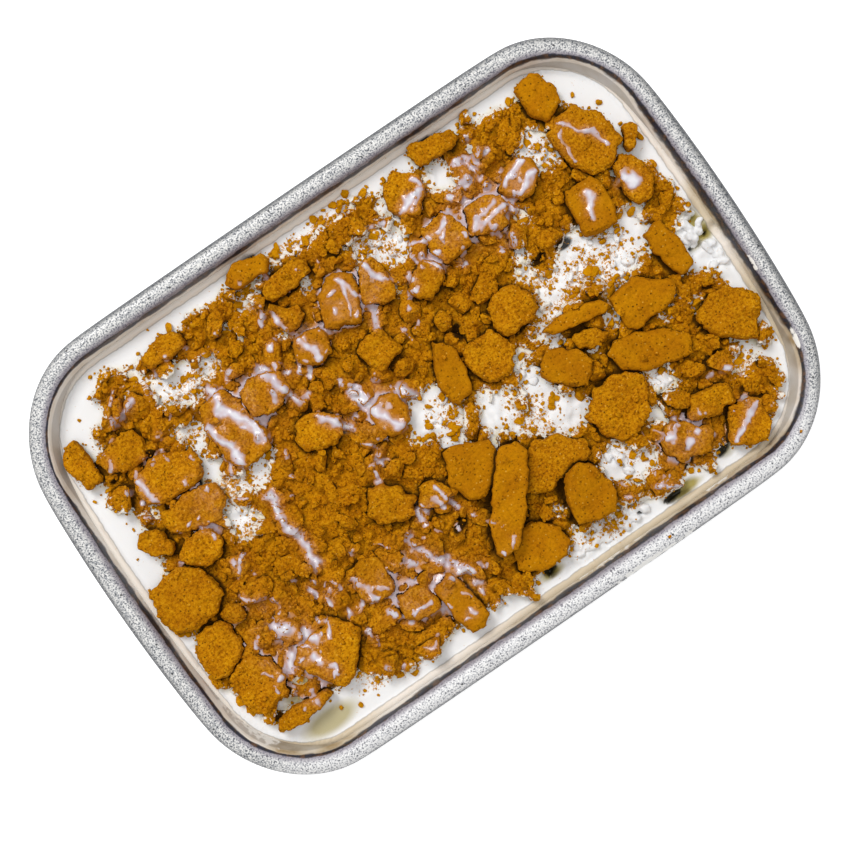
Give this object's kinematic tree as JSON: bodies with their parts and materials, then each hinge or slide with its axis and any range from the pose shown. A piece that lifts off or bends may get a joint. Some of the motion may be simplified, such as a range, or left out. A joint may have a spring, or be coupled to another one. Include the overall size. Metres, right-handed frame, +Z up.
{
  "type": "honey cake in baking tin",
  "caption": "Uncut no-bake honey cake in a rectangular coated baking tin with a rolled rim: cream surface under a rubble of broken ginger biscuits and crumbs with a thin milky drizzle.",
  "frame": {"origin": "under the middle of the tin, on the table", "axes": "+X along the tin's long side, +Y across it, +Z up"},
  "size_m": [0.33, 0.228, 0.0546],
  "materials": {
    "tin_coating": "light grey coating with fine dark speckles, satin",
    "cream": "soft whipped cream, slightly glossy where smooth",
    "crumbs": "loose baked crumb, dry and rough, damp and darker under the drizzle",
    "biscuit": "baked ginger biscuit, matt, with a pitted broken face"
  },
  "bodies": {
    "root": {"baking_tin": "tin_coating", "honey_cake": "cream", "crumb_bed": "crumbs", "biscuit_01": "biscuit", "biscuit_02": "biscuit", "biscuit_03": "biscuit", "biscuit_04": "biscuit", "biscuit_05": "biscuit", "biscuit_06": "biscuit", "biscuit_07": "biscuit", "biscuit_08": "biscuit", "biscuit_09": "biscuit", "biscuit_10": "biscuit", "biscuit_11": "biscuit", "biscuit_12": "biscuit", "biscuit_13": "biscuit", "biscuit_14": "biscuit", "biscuit_15": "biscuit", "biscuit_16": "biscuit", "biscuit_17": "biscuit", "biscuit_18": "biscuit", "biscuit_19": "biscuit", "biscuit_20": "biscuit", "biscuit_21": "biscuit", "biscuit_22": "biscuit", "biscuit_23": "biscuit", "biscuit_24": "biscuit", "biscuit_25": "biscuit", "biscuit_26": "biscuit", "biscuit_27": "biscuit", "biscuit_28": "biscuit", "biscuit_29": "biscuit", "biscuit_30": "biscuit", "biscuit_31": "biscuit", "biscuit_32": "biscuit", "biscuit_33": "biscuit", "biscuit_34": "biscuit", "biscuit_35": "biscuit", "biscuit_36": "biscuit", "biscuit_37": "biscuit", "biscuit_38": "biscuit", "biscuit_39": "biscuit", "biscuit_40": "biscuit", "biscuit_41": "biscuit", "biscuit_42": "biscuit", "biscuit_43": "biscuit", "biscuit_44": "biscuit", "biscuit_45": "biscuit", "biscuit_46": "biscuit", "biscuit_47": "biscuit", "biscuit_48": "biscuit", "biscuit_49": "biscuit", "biscuit_50": "biscuit", "biscuit_51": "biscuit", "biscuit_52": "biscuit", "biscuit_53": "biscuit", "biscuit_54": "biscuit", "biscuit_55": "biscuit", "biscuit_56": "biscuit", "biscuit_57": "biscuit"}
  },
  "joints": []
}
